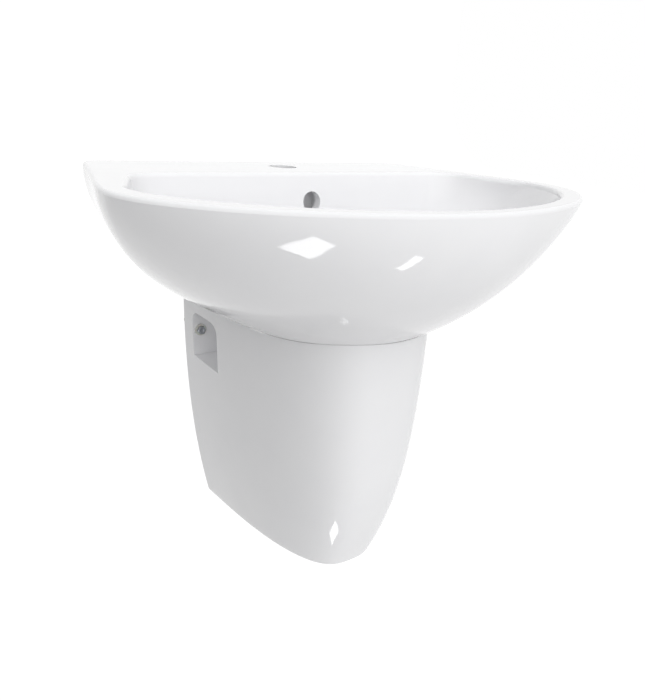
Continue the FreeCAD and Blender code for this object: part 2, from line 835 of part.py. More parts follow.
screw_z = DROP_TO_Z + "screw_drop"
screw_washer_face = "-notch_from_wall - screw_washer_thickness"
screw_head = hexagon(
    "screw_head", "screw_head_across_flats", "screw_head_height",
    x=screw_x, y=f"{screw_washer_face} - screw_head_height", z=screw_z, to_wall=True,
)
screw_length = "(notch_from_wall + screw_washer_thickness + screw_in_wall)"
screw_shank = turned(
    "screw_shank",
    [
        ("0", "0"),
        ("screw_diameter / 2", "0"),
        ("screw_diameter / 2", f"{screw_length} - screw_diameter"),
        ("0", screw_length),
    ],
    x=screw_x, y=screw_washer_face, z=screw_z, to_wall=True,
)
pair("pedestal_screws", fuse("screw", screw_head, screw_shank))
screw_plug = turned(
    "screw_plug",
    ring("screw_plug_diameter / 2", "screw_diameter / 2 + thread_clearance", "0", "screw_plug_length"),
    x=screw_x, z=screw_z, to_wall=True,
)
pair("pedestal_wall_plugs", screw_plug)
screw_washer = turned(
    "screw_washer",
    ring("screw_washer_diameter / 2", "screw_diameter / 2 + bolt_clearance", "0", "screw_washer_thickness"),
    x=screw_x, y=screw_washer_face, z=screw_z, to_wall=True,
)
pair("pedestal_washers", screw_washer)

# ---------------------------------------------------------------------------------------------
# Waste: a slotted brass body clamped through the china, with a push-to-open plug.
# ---------------------------------------------------------------------------------------------

waste_top = DROP_TO_Z + "bowl_depth"
waste_end = f"{waste_top} - waste_tube_length"
tube = "waste_tube_diameter / 2"
waste_bore = "waste_bore_diameter / 2"
waste_turned = turned(
    "waste_turned",
    [
        (waste_bore, "0"),
        (tube, "0"),
        (tube, "waste_tube_length - waste_flange_thickness"),
        ("waste_flange_diameter / 2", "waste_tube_length - waste_flange_thickness"),
        ("waste_flange_diameter / 2", "waste_tube_length"),
        (f"{waste_bore} + 4", "waste_tube_length"),
        (waste_bore, "waste_tube_length - 4"),
    ],
    y=waste_y, z=waste_end,
)
waste_windows = box(
    "waste_windows", "waste_window_width", "waste_tube_diameter + 2", "waste_window_height",
    x="-waste_window_width / 2", y=f"{waste_y} - waste_tube_diameter / 2 - 1",
    z=f"{waste_top} - waste_window_drop - waste_window_height",
)
bridge_z = f"{waste_top} - waste_bridge_drop - waste_bridge_height"
bridge_bar = box(
    "bridge_bar", "waste_bore_diameter + 1", "waste_bridge_width", "waste_bridge_height",
    x="-waste_bore_diameter / 2 - 0.5", y=f"{waste_y} - waste_bridge_width / 2", z=bridge_z,
)
bridge_boss = cylinder(
    "bridge_boss", "cartridge_diameter / 2 + 2.5", "waste_bridge_height", y=waste_y, z=bridge_z
)
bridge_bore = cylinder(
    "bridge_bore", "cartridge_diameter / 2 + thread_clearance", "waste_bridge_height + 2",
    y=waste_y, z=f"{bridge_z} - 1",
)
waste_tube = cut("waste_tube", waste_turned, waste_windows)
waste_bridged = fuse("waste_bridged", waste_tube, bridge_bar, bridge_boss)
subpart(cut("waste_piece", waste_bridged, bridge_bore), "waste_body")
subpart(
    turned(
        "flange_seal",
        ring("waste_flange_diameter / 2 - 1", f"{tube} + pipe_clearance", "0", "waste_seal_thickness"),
        y=waste_y, z=f"{waste_top} - waste_flange_thickness - waste_seal_thickness",
    ),
    "waste_flange_seal",
)
china_foot = DROP_TO_Z + boss_foot
cone_foot = f"{china_foot} - cone_seal_thickness"
subpart(
    turned(
        "cone_seal",
        [
            (f"{tube} + pipe_clearance", "0"),
            ("cone_seal_diameter / 2", "0"),
            ("cone_seal_diameter / 2", "cone_seal_thickness / 2"),
            ("cone_seal_diameter / 2 - 3", "cone_seal_thickness"),
            (f"{tube} + pipe_clearance", "cone_seal_thickness"),
        ],
        y=waste_y, z=cone_foot,
    ),
    "waste_cone_seal",
)
slip_foot = f"{cone_foot} - slip_washer_thickness"
subpart(
    turned(
        "slip_washer",
        ring("cone_seal_diameter / 2", f"{tube} + pipe_clearance", "0", "slip_washer_thickness"),
        y=waste_y, z=slip_foot,
    ),
    "waste_slip_washer",
)
backnut_foot = f"{slip_foot} - backnut_height"
backnut_block = hexagon(
    "backnut_block", "backnut_across_flats", "backnut_height", y=waste_y, z=backnut_foot
)
backnut_bore = cylinder(
    "backnut_bore", f"{tube} + thread_clearance", "backnut_height + 2",
    y=waste_y, z=f"{backnut_foot} - 1",
)
subpart(cut("backnut", backnut_block, backnut_bore), "waste_backnut")

cartridge_radius = "cartridge_diameter / 2"
cartridge_rest = "cartridge_length / 2"
stem_bore = "plug_stem_diameter / 2 + running_clearance"
cartridge_foot = f"{bridge_z} + waste_bridge_height - {cartridge_rest}"
subpart(
    turned(
        "cartridge",
        [
            ("0", "0"),
            (cartridge_radius, "0"),
            (cartridge_radius, cartridge_rest),
            (f"{cartridge_radius} + 2", cartridge_rest),
            (f"{cartridge_radius} + 2", f"{cartridge_rest} + 2"),
            (cartridge_radius, f"{cartridge_rest} + 2"),
            (cartridge_radius, "cartridge_length"),
            (stem_bore, "cartridge_length"),
            (stem_bore, "cartridge_length - cartridge_wall"),
            (f"{cartridge_radius} - cartridge_wall", "cartridge_length - cartridge_wall"),
            (f"{cartridge_radius} - cartridge_wall", "cartridge_wall"),
            ("0", "cartridge_wall"),
        ],
        y=waste_y, z=cartridge_foot,
    ),
    "plug_cartridge",
)
cap_foot = f"{waste_top} + plug_cap_lift"
cap_radius = "plug_cap_diameter / 2"
subpart(
    turned(
        "cap",
        [
            ("0", "0"),
            (f"{cap_radius} - 1", "0"),
            (cap_radius, "1"),
            (cap_radius, "plug_cap_thickness - 1.5"),
            (f"{cap_radius} - 2", "plug_cap_thickness - 0.4"),
            (f"{cap_radius} - 9", "plug_cap_thickness"),
            ("0", "plug_cap_thickness"),
        ],
        y=waste_y, z=cap_foot,
    ),
    "plug_cap",
)
seal_radius = f"({waste_bore} + 5 + plug_seal_width)"
subpart(
    turned(
        "cap_seal",
        ring(seal_radius, f"{seal_radius} - plug_seal_width", "0", "plug_seal_thickness"),
        y=waste_y, z=f"{cap_foot} - plug_seal_thickness",
    ),
    "plug_seal",
)
collar_height = "3"
stem_foot = f"{cartridge_foot} + cartridge_length - cartridge_wall - plug_travel - 1 - {collar_height}"
stem_length = f"({cap_foot} - ({stem_foot}))"
subpart(
    turned(
        "stem",
        [
            ("0", "0"),
            (f"{cartridge_radius} - cartridge_wall - running_clearance", "0"),
            (f"{cartridge_radius} - cartridge_wall - running_clearance", collar_height),
            ("plug_stem_diameter / 2", collar_height),
            ("plug_stem_diameter / 2", stem_length),
            ("0", stem_length),
        ],
        y=waste_y, z=stem_foot,
    ),
    "plug_stem",
)
spring_height = f"({stem_foot} - ({cartridge_foot}) - cartridge_wall - spring_wire - 0.2)"
spring_line = part(
    "Helix", "spring_line",
    Radius=f"{cartridge_radius} - cartridge_wall - spring_wire / 2 - 0.4",
    Height=spring_height,
    Pitch=f"{spring_height} / spring_turns",
)
place(spring_line, y=waste_y, z=f"{cartridge_foot} + cartridge_wall + spring_wire / 2 + 0.1")
spring_section = part("Circle", "spring_section", Radius="spring_wire / 2")
spring_section.Placement = Placement(Vector(), Rotation(Vector(1, 0, 0), 90))
place(
    spring_section, f"{cartridge_radius} - cartridge_wall - spring_wire / 2 - 0.4", waste_y,
    f"{cartridge_foot} + cartridge_wall + spring_wire / 2 + 0.1",
)
spring = doc.addObject("Part::Sweep", "spring")
spring.Sections = [spring_section]
spring.Spine = spring_line
spring.Solid = True
spring.Frenet = True
subpart(spring, "plug_spring")

# ---------------------------------------------------------------------------------------------
# Bottle trap, and the pipe that carries its outlet into the wall.
# ---------------------------------------------------------------------------------------------

pipe = "pipe_diameter / 2"
pipe_bore = f"{pipe} - pipe_wall"
pipe_slide = f"{pipe} + pipe_clearance"
nut_radius = "coupling_nut_diameter / 2"
neck = "neck_diameter / 2"


def coupling_nut(name, thread, stack, x="0", y="0", z="0", to_wall=False):
    """A turned nut whose face is at its own zero. It reaches over the thread past what it clamps."""
    top = f"coupling_nut_face + {stack} + coupling_overlap"
    return turned(
        name,
        [
            (pipe_slide, "0"),
            (f"{nut_radius} - 2", "0"),
            (nut_radius, "2"),
            (nut_radius, top),
            (f"{thread} + thread_clearance", top),
            (f"{thread} + thread_clearance", "coupling_nut_face"),
            (pipe_slide, "coupling_nut_face"),
        ],
        x=x, y=y, z=z, to_wall=to_wall,
    )


inlet_stack = "coupling_washer_thickness + inlet_flange_thickness"
inlet_nut_foot = f"{waste_end} - ({inlet_stack}) - coupling_nut_face"
subpart(coupling_nut("inlet_nut", tube, inlet_stack, y=waste_y, z=inlet_nut_foot), "trap_inlet_nut")
subpart(
    turned(
        "inlet_washer",
        ring(f"{tube} - pipe_clearance", pipe_bore, "0", "coupling_washer_thickness"),
        y=waste_y, z=f"{waste_end} - coupling_washer_thickness",
    ),
    "trap_inlet_washer",
)
bottle_top = DROP_TO_Z + "bottle_top_drop"
inlet_foot = f"{bottle_top} - inlet_dip"
inlet_length = f"({waste_end} - coupling_washer_thickness - ({inlet_foot}))"
subpart(
    turned(
        "inlet_tube",
        [
            (pipe_bore, "0"),
            (pipe, "0"),
            (pipe, f"{inlet_length} - inlet_flange_thickness"),
            (f"{tube} - pipe_clearance", f"{inlet_length} - inlet_flange_thickness"),
            (f"{tube} - pipe_clearance", inlet_length),
            (pipe_bore, inlet_length),
        ],
        y=waste_y, z=inlet_foot,
    ),
    "trap_inlet_tube",
)
bottle = "bottle_diameter / 2"
bottle_foot = f"{bottle_top} - bottle_height"
bottle_turned = turned(
    "bottle_turned",
    [
        (f"{bottle} - bottle_wall", "0"),
        (bottle, "0"),
        (bottle, "bottle_height - 6"),
        (f"{bottle} - 6", "bottle_height"),
        (neck, "bottle_height"),
        (neck, "bottle_height + neck_length"),
        (pipe_slide, "bottle_height + neck_length"),
        (pipe_slide, "bottle_height - bottle_wall"),
        (f"{bottle} - 6", "bottle_height - bottle_wall"),
        (f"{bottle} - bottle_wall", "bottle_height - 6 - bottle_wall / 2"),
    ],
    y=waste_y, z=bottle_foot,
)
outlet_z = DROP_TO_Z + "outlet_drop"
side_neck = cylinder(
    "side_neck", neck, f"neck_length + bottle_wall + 6",
    y=f"{waste_y} + {bottle} - bottle_wall - 6", z=outlet_z, to_wall=True,
)
bottle_room = cylinder(
    "bottle_room", f"{bottle} - bottle_wall", "bottle_height", y=waste_y, z=bottle_foot
)
side_neck_outside = cut("side_neck_outside", side_neck, bottle_room)
side_bore = cylinder(
    "side_bore", pipe_slide, f"neck_length + bottle_wall + 10",
    y=f"{waste_y} + {bottle} - bottle_wall - 8", z=outlet_z, to_wall=True,
)
bottle_with_neck = fuse("bottle_with_neck", bottle_turned, side_neck_outside)
subpart(cut("bottle", bottle_with_neck, side_bore), "trap_body")
neck_top = f"{bottle_top} + neck_length"
subpart(
    turned(
        "neck_washer",
        ring(f"{neck} - pipe_clearance", pipe_slide, "0", "coupling_washer_thickness"),
        y=waste_y, z=neck_top,
    ),
    "trap_neck_washer",
)
neck_nut = coupling_nut("neck_nut", neck, "coupling_washer_thickness", y=waste_y)
neck_nut.Placement = Placement(Vector(), Rotation(Vector(1, 0, 0), 180))
place(neck_nut, y=waste_y, z=f"{neck_top} + coupling_washer_thickness + coupling_nut_face")
subpart(neck_nut, "trap_neck_nut")
cup = "cup_diameter / 2"
cup_foot = f"{bottle_foot} + cup_overlap - cup_height"
cup_shoulder = "cup_height - cup_overlap - cup_seal_thickness"
subpart(
    turned(
        "cup",
        [
            ("0", "0"),
            (f"{cup} - 12", "0"),
            (f"{cup} - 3", "8"),
            (f"{cup} - 2", f"{cup_shoulder} - 4"),
            (cup, f"{cup_shoulder} - 2"),
            (cup, "cup_height"),
            (f"{bottle} + thread_clearance", "cup_height"),
            (f"{bottle} + thread_clearance", cup_shoulder),
            (f"{bottle} - bottle_wall - 2", cup_shoulder),
            (f"{bottle} - bottle_wall - 4", "9"),
            (f"{cup} - 14", "bottle_wall"),
            ("0", "bottle_wall"),
        ],
        y=waste_y, z=cup_foot,
    ),
    "trap_cup",
)
subpart(
    turned(
        "cup_seal",
        ring(f"{bottle} - pipe_clearance", f"{bottle} - bottle_wall - 1", "0", "cup_seal_thickness"),
        y=waste_y, z=f"{bottle_foot} - cup_seal_thickness",
    ),
    "trap_cup_seal",
)
neck_end = f"{waste_y} + {bottle} + neck_length"
subpart(
    turned(
        "outlet_washer",
        ring(f"{neck} - pipe_clearance", pipe_slide, "0", "coupling_washer_thickness"),
        y=neck_end, z=outlet_z, to_wall=True,
    ),
    "trap_outlet_washer",
)
outlet_nut = coupling_nut("outlet_nut", neck, "coupling_washer_thickness")
outlet_nut.Placement = Placement(Vector(), Rotation(Vector(1, 0, 0), 90))
place(outlet_nut, y=f"{neck_end} + coupling_washer_thickness + coupling_nut_face", z=outlet_z)
subpart(outlet_nut, "trap_outlet_nut")
outlet_start = f"{neck_end} - outlet_in_neck"
subpart(
    turned(
        "outlet_pipe", ring(pipe, pipe_bore, "0", f"outlet_in_wall - ({outlet_start})"),
        y=outlet_start, z=outlet_z, to_wall=True,
    ),
    "outlet_pipe",
)
subpart(
    turned(
        "rosette",
        [
            (pipe_slide, "0"),
            ("rosette_face_diameter / 2", "0"),
            ("rosette_diameter / 2", "rosette_depth"),
            ("rosette_diameter / 2 - rosette_wall", "rosette_depth"),
            ("rosette_face_diameter / 2 - rosette_wall / 2", "rosette_wall"),
            (pipe_slide, "rosette_wall"),
        ],
        y="-rosette_depth", z=outlet_z, to_wall=True,
    ),
    "wall_rosette",
)

# ---------------------------------------------------------------------------------------------
# Everything is worked out, looked over and written, one file for each piece.
# ---------------------------------------------------------------------------------------------

doc.recompute()

for item in doc.Objects:
    if {"Invalid", "Error"} & set(item.State):
        raise RuntimeError(f"{item.Name} failed: {item.State}")
for item in subparts:
    if item.Shape.isNull() or not item.Shape.isValid() or not item.Shape.Solids:
        raise RuntimeError(f"{item.Label} has no sound shape")

os.makedirs("parts", exist_ok=True)
for item in subparts:
    item.Shape.exportStep(f"parts/{item.Label}.step")
    box_of = item.Shape.BoundBox
    print(
        f"{item.Label}: {len(item.Shape.Solids)} solid, {item.Shape.Volume / 1000:.2f} cm3,"
        f" {box_of.XLength:.1f} x {box_of.YLength:.1f} x {box_of.ZLength:.1f} mm,"
        f" z {box_of.ZMin:.1f} to {box_of.ZMax:.1f}"
    )
print(f"{len(subparts)} pieces")
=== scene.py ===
"""Dresses the wall-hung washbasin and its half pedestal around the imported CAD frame.

The wall is the plane y = 0, the basin stands out of it towards -y, and +z is up. The fittings'
sizes are in millimetres and the studio's in metres. Every mesh is written in metres.
"""

from __future__ import annotations

import json
import logging
import math
from dataclasses import dataclass
from enum import Enum
from typing import Callable, Sequence

import bmesh
import bpy
from mathutils import Matrix, Vector
from mathutils.bvhtree import BVHTree

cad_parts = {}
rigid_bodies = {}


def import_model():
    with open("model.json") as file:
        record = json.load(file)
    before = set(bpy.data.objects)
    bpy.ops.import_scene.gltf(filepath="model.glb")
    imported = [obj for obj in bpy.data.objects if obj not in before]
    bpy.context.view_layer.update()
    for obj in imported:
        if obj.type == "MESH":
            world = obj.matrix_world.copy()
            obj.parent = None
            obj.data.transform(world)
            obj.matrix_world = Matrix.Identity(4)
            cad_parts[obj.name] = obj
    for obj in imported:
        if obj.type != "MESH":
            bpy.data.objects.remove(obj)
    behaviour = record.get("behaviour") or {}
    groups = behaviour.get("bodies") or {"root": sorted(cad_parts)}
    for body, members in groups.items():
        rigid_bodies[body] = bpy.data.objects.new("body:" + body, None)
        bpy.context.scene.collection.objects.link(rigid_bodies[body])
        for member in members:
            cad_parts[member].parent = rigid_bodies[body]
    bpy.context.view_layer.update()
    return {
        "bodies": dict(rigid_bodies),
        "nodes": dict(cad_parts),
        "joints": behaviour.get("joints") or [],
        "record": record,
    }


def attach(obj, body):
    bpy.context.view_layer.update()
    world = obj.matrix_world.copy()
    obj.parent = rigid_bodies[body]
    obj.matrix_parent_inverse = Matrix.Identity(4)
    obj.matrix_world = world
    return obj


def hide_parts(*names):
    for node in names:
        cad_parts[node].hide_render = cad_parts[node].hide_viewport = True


LOG = logging.getLogger("washbasin")
MM = 0.001

# How far the waste's upright axis stands out of the wall.
WASTE_Y = -236.0

# Play round the shank, pipe or thread inside a fitting, so that no two faces coincide.
PLAY = 0.1

# A profile's point belongs to the side that is shaped if it lies this little inside it.
ON_SIDE = 0.01

# Points of a turned mesh this close together become one, and edges this short are dropped.
WELD = 0.0005 * MM
SLIVER = 0.0001 * MM

# A turned mesh is smooth, but for the edges that bend more than this.
CREASE = math.radians(32)

Spot = tuple[float, float, float]
Colour = tuple[float, float, float, float]
Profile = Sequence[tuple[float, float]]
Shape = Callable[[float, float, float], float]


class Body(Enum):
    """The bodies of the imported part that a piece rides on."""

    BASIN_SET = "basin_set"
    PLUG = "plug"


class Slot(Enum):
    """The record's material slots."""

    GLAZE = "glaze"
    ZINC_STEEL = "zinc_steel"
    NYLON = "nylon"
    CHROME = "chrome"
    RUBBER = "rubber"
    BRASS = "brass"
    SPRING_STEEL = "spring_steel"
    TRAP_PLASTIC = "trap_plastic"


class Lie(Enum):
    """Which way a turned piece's own height runs: its direction, and its first two axes."""

    UP = ((0, 0, 1), (1, 0, 0), (0, 1, 0))
    DOWN = ((0, 0, -1), (1, 0, 0), (0, 1, 0))
    TO_WALL = ((0, 1, 0), (1, 0, 0), (0, 0, 1))
    TO_FRONT = ((0, -1, 0), (1, 0, 0), (0, 0, 1))


class Relief(Enum):
    """What the making leaves on a surface."""

    RIPPLE = "soft waves or grain, the same in every direction"
    TURNED = "fine rings round the waste's upright axis"


# ---------------------------------------------------------------------------------------------
# Nodes
# ---------------------------------------------------------------------------------------------


def linear(code: str) -> Colour:
    """Turn an sRGB hex colour into linear RGBA.

    Args:
        code: The colour, such as "#F2F2EF".

    Returns:
        Red, green, blue and alpha, linear.
    """
    shares = [int(code[place : place + 2], 16) / 255 for place in (1, 3, 5)]
    red, green, blue = (
        share / 12.92 if share <= 0.04045 else ((share + 0.055) / 1.055) ** 2.4 for share in shares
    )
    return red, green, blue, 1.0


WHITE = linear("#FFFFFF")


def new_tree(owner: bpy.types.Material | bpy.types.World) -> bpy.types.NodeTree:
    """Give a material or a world an empty node tree.

    Args:
        owner: The material or the world.

    Returns:
        Its tree.
    """
    owner.use_nodes = True
    owner.node_tree.nodes.clear()
    return owner.node_tree


def add_node(
    tree: bpy.types.NodeTree,
    kind: str,
    inputs: dict[str | int, object] | None = None,
    **settings: object,
) -> bpy.types.Node:
    """Add a node with its settings, its values and its links.

    Args:
        tree: The tree that the node joins.
        kind: The node's type name.
        inputs: Socket name or number to a value, or to the socket that feeds it. Sockets that
            share one name go by number.
        **settings: Properties of the node itself.

    Returns:
        The new node.
    """
    node = tree.nodes.new(kind)
    for name, value in settings.items():
        setattr(node, name, value)
    for key, value in (inputs or {}).items():
        if isinstance(value, bpy.types.NodeSocket):
            tree.links.new(value, node.inputs[key])
        else:
            node.inputs[key].default_value = value
    return node


def calculate(
    tree: bpy.types.NodeTree, operation: str, *values: bpy.types.NodeSocket | float
) -> bpy.types.NodeSocket:
    """Add a calculation with numbers.

    Args:
        tree: The tree that it joins.
        operation: What it does, by Blender's name.
        *values: The numbers that it takes, or the sockets that give them.

    Returns:
        The socket of the result.
    """
    node = add_node(tree, "ShaderNodeMath", dict(enumerate(values)), operation=operation)
    return node.outputs[0]


def noise(
    tree: bpy.types.NodeTree, place: bpy.types.NodeSocket, spacing: float, detail: float
) -> bpy.types.NodeSocket:
    """Add a soft random pattern.

    Args:
        tree: The tree that it joins.
        place: The socket that gives a point's place in metres.
        spacing: Distance from one patch to the next, in millimetres.
        detail: How many finer patterns are laid over the first.

    Returns:
        The socket that gives the pattern, about 0.5.
    """
    scale = 1 / (spacing * MM)
    inputs = {"Vector": place, "Scale": scale, "Detail": detail}
    return add_node(tree, "ShaderNodeTexNoise", inputs).outputs["Fac"]


def by_ray(
    tree: bpy.types.NodeTree, carried: bpy.types.NodeSocket, seen: bpy.types.NodeSocket
) -> bpy.types.NodeSocket:
    """Show the background as one thing, and let it light the basin as another.

    Args:
        tree: The material's or the world's tree.
        carried: The shader for the rays that carry the background's light.
        seen: The shader for camera, glossy and transmission rays.

    Returns:
        The socket of the shader for all rays.
    """
    path = add_node(tree, "ShaderNodeLightPath").outputs
    looking = calculate(tree, "MAXIMUM", path["Is Camera Ray"], path["Is Glossy Ray"])
    looking = calculate(tree, "MAXIMUM", looking, path["Is Transmission Ray"])
    return add_node(tree, "ShaderNodeMixShader", {0: looking, 1: carried, 2: seen}).outputs[0]


# ---------------------------------------------------------------------------------------------
# Finishes
# ---------------------------------------------------------------------------------------------


@dataclass(frozen=True)
class Finish:
    """A real material, with the surface that its making leaves.

    Attributes:
        name: The material's name.
        colour: Its colour, in sRGB.
        tone: A second colour, that the first drifts to in soft patches.
        patch: Distance from one patch to the next, in millimetres.
        roughness: Roughness where the patches are smoothest.
        roughest: Roughness where they are roughest.
        relief: What the making leaves on the surface.
        spacing: Distance from one wave, grain or ring to the next, in millimetres.
        height: Height of the relief, in millimetres.
        ior: Index of refraction.
        metallic: 1 for a metal.
        soak: How much of the light soaks into the surface.
    """

    name: str
    colour: str
    tone: str
    patch: float
    roughness: float
    roughest: float
    relief: Relief
    spacing: float
    height: float
    ior: float = 1.5
    metallic: float = 0.0
    soak: float = 0.0

    def build(self) -> bpy.types.Material:
        """Make the Blender material.

        Returns:
            The new material.
        """
        lowest, highest = 0.3, 0.7  # Where nearly all of the noise lies.
        soak_depth = 2 * MM
        material = bpy.data.materials.new(self.name)
        tree = new_tree(material)
        place = add_node(tree, "ShaderNodeTexCoord").outputs["Object"]
        patches = noise(tree, place, self.patch, 3.0)
        tone = add_node(
            tree,
            "ShaderNodeMix",
            {"Factor": patches, 6: linear(self.colour), 7: linear(self.tone)},
            data_type="RGBA",
        )
        gloss = add_node(
            tree,
            "ShaderNodeMapRange",
            {
                "Value": patches,
                "From Min": lowest,
                "From Max": highest,
                "To Min": self.roughness,
                "To Max": self.roughest,
            },
        )
        bump = add_node(
            tree,
            "ShaderNodeBump",
            {"Height": self._height(tree, place), "Distance": self.height * MM, "Strength": 1.0},
        )
        shader = add_node(
            tree,
            "ShaderNodeBsdfPrincipled",
            {
                "Base Color": tone.outputs[2],
                "Roughness": gloss.outputs["Result"],
                "Normal": bump.outputs["Normal"],
                "IOR": self.ior,
                "Metallic": self.metallic,
                "Subsurface Weight": self.soak,
                "Subsurface Scale": soak_depth,
            },
        )
        add_node(tree, "ShaderNodeOutputMaterial", {"Surface": shader.outputs["BSDF"]})
        return material

    def _height(
        self, tree: bpy.types.NodeTree, place: bpy.types.NodeSocket
    ) -> bpy.types.NodeSocket:
        """Make the pattern that the bump reads.

        Args:
            tree: The material's tree.
            place: The socket that gives a point's place in metres.

        Returns:
            The socket that gives the height from 0 to 1.
        """
        if self.relief is Relief.RIPPLE:
            return noise(tree, place, self.spacing, 1.0)
        waste = (0.0, WASTE_Y * MM, 0.0)
        centred = add_node(
            tree, "ShaderNodeVectorMath", {0: place, 1: waste}, operation="SUBTRACT"
        )
        # A wave texture of scale 1 has a ring every 2 pi / 20 of a metre.
        scale = math.tau / 20 / (self.spacing * MM)
        rings = add_node(
            tree,
            "ShaderNodeTexWave",
            {"Vector": centred.outputs[0], "Scale": scale, "Distortion": 0.0},
            wave_type="RINGS",
            rings_direction="Z",
        )
        return rings.outputs["Fac"]


FINISHES: dict[Slot, Finish] = {
    # Fired glaze on vitreous china: deep and glassy, with a slow ripple where the glaze ran, so
    # that reflections waver a little and the white is never quite even.
    Slot.GLAZE: Finish(
        name="vitreous_china_glazed", colour="#F4F4F5", tone="#EFEFF1", patch=60.0,
        roughness=0.03, roughest=0.06, relief=Relief.RIPPLE, spacing=28.0, height=0.05,
    ),
    # Steel with a thin zinc plate: a grey sheen, cloudy where the plating crystals differ.
    Slot.ZINC_STEEL: Finish(
        name="steel_zinc_plated", colour="#B9BCC2", tone="#A7AAAE", patch=3.0,
        roughness=0.28, roughest=0.42, relief=Relief.RIPPLE, spacing=0.8, height=0.01,
        metallic=1.0,
    ),
    # Moulded nylon: milky, a little translucent, with the fine skin of the mould.
    Slot.NYLON: Finish(
        name="nylon_moulded", colour="#DAD9D2", tone="#CFCEC6", patch=6.0,
        roughness=0.38, roughest=0.5, relief=Relief.RIPPLE, spacing=0.7, height=0.01,
        ior=1.53, soak=0.15,
    ),
    # Chrome plate on turned and buffed brass: a mirror with faint rings from the lathe. Real
    # lathe marks are 0.05 mm apart, and these are drawn at 0.6 mm so that they show.
    Slot.CHROME: Finish(
        name="brass_chrome_plated", colour="#D4D6D9", tone="#C8CBCF", patch=15.0,
        roughness=0.05, roughest=0.1, relief=Relief.TURNED, spacing=0.6, height=0.0005,
        metallic=1.0,
    ),
    # Moulded rubber: dull black with a dusty bloom.
    Slot.RUBBER: Finish(
        name="rubber_moulded", colour="#1B1B1C", tone="#262627", patch=4.0,
        roughness=0.6, roughest=0.8, relief=Relief.RIPPLE, spacing=0.5, height=0.02,
        ior=1.52,
    ),
    # Turned brass, left bare: warm, with the lathe's rings and darker tarnished patches.
    Slot.BRASS: Finish(
        name="brass_turned", colour="#C9A557", tone="#AE8A43", patch=8.0,
        roughness=0.22, roughest=0.36, relief=Relief.TURNED, spacing=0.6, height=0.004,
        metallic=1.0,
    ),
    # Drawn spring wire: dark bright steel with a thin film of oil.
    Slot.SPRING_STEEL: Finish(
        name="spring_wire_drawn", colour="#8F9398", tone="#7C8085", patch=1.5,
        roughness=0.2, roughest=0.32, relief=Relief.RIPPLE, spacing=0.3, height=0.004,
        metallic=1.0,
    ),
    # Moulded polypropylene: white and slightly waxy, with the eroded grain of the mould.
    Slot.TRAP_PLASTIC: Finish(
        name="polypropylene_moulded", colour="#E9EAE8", tone="#E2E3E1", patch=12.0,
        roughness=0.24, roughest=0.34, relief=Relief.RIPPLE, spacing=0.8, height=0.012,
        ior=1.49, soak=0.1,
    ),
}


class Palette:
    """The finishes, built once and shared by the pieces."""

    def __init__(self, frame: dict[str, object]) -> None:
        """Build every finish.
        """
        self.nodes: dict[str, bpy.types.Object] = frame["nodes"]
        self.made: dict[Slot, bpy.types.Material] = {
            slot: finish.build() for slot, finish in FINISHES.items()
        }

    def dress(self, node: str, slot: Slot) -> None:
        """Give a CAD node its finish.

        Args:
            node: The node.
            slot: The finish.
        """
        mesh = self.nodes[node].data
        mesh.materials.clear()
        mesh.materials.append(self.made[slot])

    def piece(
        self, mesh: bpy.types.Mesh, slot: Slot, node: str, body: Body = Body.BASIN_SET
    ) -> bpy.types.Object:
        """Stand a new piece in for a CAD node.

        Args:
            mesh: The piece's mesh, in the part's own frame. It gives the piece its name.
            slot: Its finish.
            node: The CAD node that it stands for.
            body: The body that it rides on.

        Returns:
            The new object.
        """
        item = put_in_scene(mesh.name, mesh)
        mesh.materials.append(self.made[slot])
        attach(item, body.value)
        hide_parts(node)
        LOG.info("%s stands for %s, %d faces", item.name, node, len(mesh.polygons))
        return item


def put_in_scene(name: str, data: bpy.types.ID) -> bpy.types.Object:
    """Make an object and put it in the scene.

    Args:
        name: The object's name.
        data: Its mesh, light or camera.

    Returns:
        The new object.
    """
    item = bpy.data.objects.new(name, data)
    bpy.context.scene.collection.objects.link(item)
    return item


# ---------------------------------------------------------------------------------------------
# Turned solids
# ---------------------------------------------------------------------------------------------


@dataclass(frozen=True)
class Seat:
    """Where a turned piece's own zero lies, in millimetres, and which way its height runs."""

    x: float
    y: float
    z: float
    lie: Lie = Lie.UP

    def point(self, radius: float, angle: float, height: float) -> Vector:
        """Place a point of the piece in the part's frame.

        Args:
            radius: Distance from the piece's axis, in millimetres.
            angle: Turn round the axis, in radians.
            height: Distance along the axis, in millimetres.

        Returns:
            The point in metres.
        """
        along, first, second = (Vector(axis) for axis in self.lie.value)
        sideways = first * math.cos(angle) + second * math.sin(angle)
        return (Vector((self.x, self.y, self.z)) + along * height + sideways * radius) * MM


@dataclass(frozen=True)
class Turning:
    """A closed profile turned round its axis, with its outside shaped as it goes round.

    Attributes:
        profile: Radius and height of each point of the section.
        seat: Where the solid lies.
        shape: Gives a point's own radius from its angle, the profile's radius and its height.
        segments: How many times the profile stands round the axis.
    """

    profile: Profile
    seat: Seat
    shape: Shape
    segments: int

    def add_to(self, work: bmesh.types.BMesh) -> None:
        """Add the turned solid to a mesh.

        Args:
            work: The mesh being built.
        """
        rows = [self._row(work, radius, height) for radius, height in self.profile]
        for row, following in zip(rows, rows[1:] + rows[:1]):
            for step in range(self.segments):
                after = (step + 1) % self.segments
                work.faces.new((row[step], row[after], following[after], following[step]))

    def _row(
        self, work: bmesh.types.BMesh, radius: float, height: float
    ) -> list[bmesh.types.BMVert]:
        """Add the ring of points that one point of the profile goes through.

        Args:
            work: The mesh being built.
            radius: The profile's radius.
            height: The profile's height.

        Returns:
            The ring's points.
        """
        angles = [math.tau * step / self.segments for step in range(self.segments)]
        return [
            work.verts.new(self.seat.point(self.shape(angle, radius, height), angle, height))
            for angle in angles
        ]


